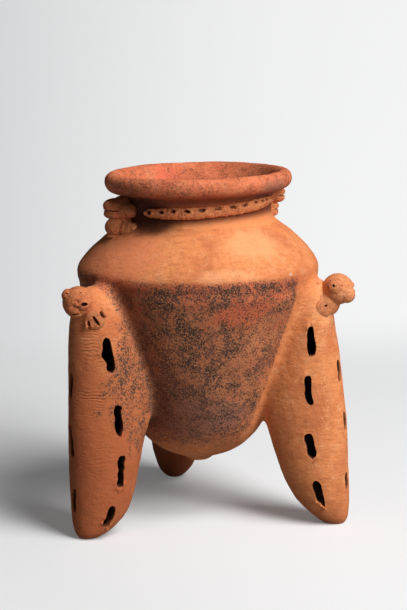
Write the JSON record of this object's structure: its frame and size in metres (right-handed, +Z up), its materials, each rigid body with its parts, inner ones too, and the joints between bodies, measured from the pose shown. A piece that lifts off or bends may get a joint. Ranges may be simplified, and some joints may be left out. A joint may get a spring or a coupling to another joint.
{
  "type": "tripod vase",
  "caption": "Round-bottomed earthenware vase with a short neck and rolled lip, on hollow slotted rattle legs that end in small animal heads.",
  "frame": {"origin": "on the ground below the middle of the bounding box", "axes": "+Z up along the vase; -Y towards its front, between the left and right legs; +Y towards the back leg"},
  "size_m": [0.1698, 0.166, 0.2018],
  "materials": {
    "sooty_terracotta": "low-fired burnished terracotta under patchy soot and fire clouds, matt",
    "orange_terracotta": "smoothed orange terracotta, matt with fine pits",
    "red_slip": "worn red slip over orange terracotta, softly burnished",
    "leg_terracotta": "hand-smoothed terracotta with finger wrinkles and grit",
    "applied_clay": "modelled and pricked terracotta, matt, darker in the cuts",
    "pellet_clay": "rough fired clay"
  },
  "bodies": {
    "vase": {"bowl": "sooty_terracotta", "shoulder": "orange_terracotta", "neck": "red_slip", "lip": "red_slip", "fillet_front": "applied_clay", "fillet_back": "applied_clay", "knob_left_upper": "applied_clay", "knob_left_lower": "applied_clay", "knob_right_upper": "applied_clay", "knob_right_lower": "applied_clay", "leg_left": "leg_terracotta", "head_left": "applied_clay", "snout_left": "applied_clay", "eye_left_1": "applied_clay", "eye_left_2": "applied_clay", "arm_left_1": "applied_clay", "arm_left_2": "applied_clay", "leg_right": "leg_terracotta", "head_right": "applied_clay", "snout_right": "applied_clay", "eye_right_1": "applied_clay", "eye_right_2": "applied_clay", "arm_right_1": "applied_clay", "arm_right_2": "applied_clay", "leg_back": "leg_terracotta", "head_back": "applied_clay", "snout_back": "applied_clay", "eye_back_1": "applied_clay", "eye_back_2": "applied_clay", "arm_back_1": "applied_clay", "arm_back_2": "applied_clay"},
    "rattle_left_1": {"pellet_left_1": "pellet_clay"},
    "rattle_left_2": {"pellet_left_2": "pellet_clay"},
    "rattle_right_1": {"pellet_right_1": "pellet_clay"},
    "rattle_right_2": {"pellet_right_2": "pellet_clay"},
    "rattle_back_1": {"pellet_back_1": "pellet_clay"},
    "rattle_back_2": {"pellet_back_2": "pellet_clay"}
  },
  "joints": [
    {"name": "rattle_left_1_slide", "type": "slide", "parent": "vase", "child": "rattle_left_1", "axis": [0.1215, 0.0702, 0.9901], "range_m": [0, 0.1]},
    {"name": "rattle_left_2_slide", "type": "slide", "parent": "vase", "child": "rattle_left_2", "axis": [0.1211, 0.0699, 0.9902], "range_m": [0, 0.084]},
    {"name": "rattle_right_1_slide", "type": "slide", "parent": "vase", "child": "rattle_right_1", "axis": [-0.1215, 0.0702, 0.9901], "range_m": [0, 0.1]},
    {"name": "rattle_right_2_slide", "type": "slide", "parent": "vase", "child": "rattle_right_2", "axis": [-0.1211, 0.0699, 0.9902], "range_m": [0, 0.084]},
    {"name": "rattle_back_1_slide", "type": "slide", "parent": "vase", "child": "rattle_back_1", "axis": [0, -0.1403, 0.9901], "range_m": [0, 0.1]},
    {"name": "rattle_back_2_slide", "type": "slide", "parent": "vase", "child": "rattle_back_2", "axis": [0, -0.1398, 0.9902], "range_m": [0, 0.084]}
  ]
}
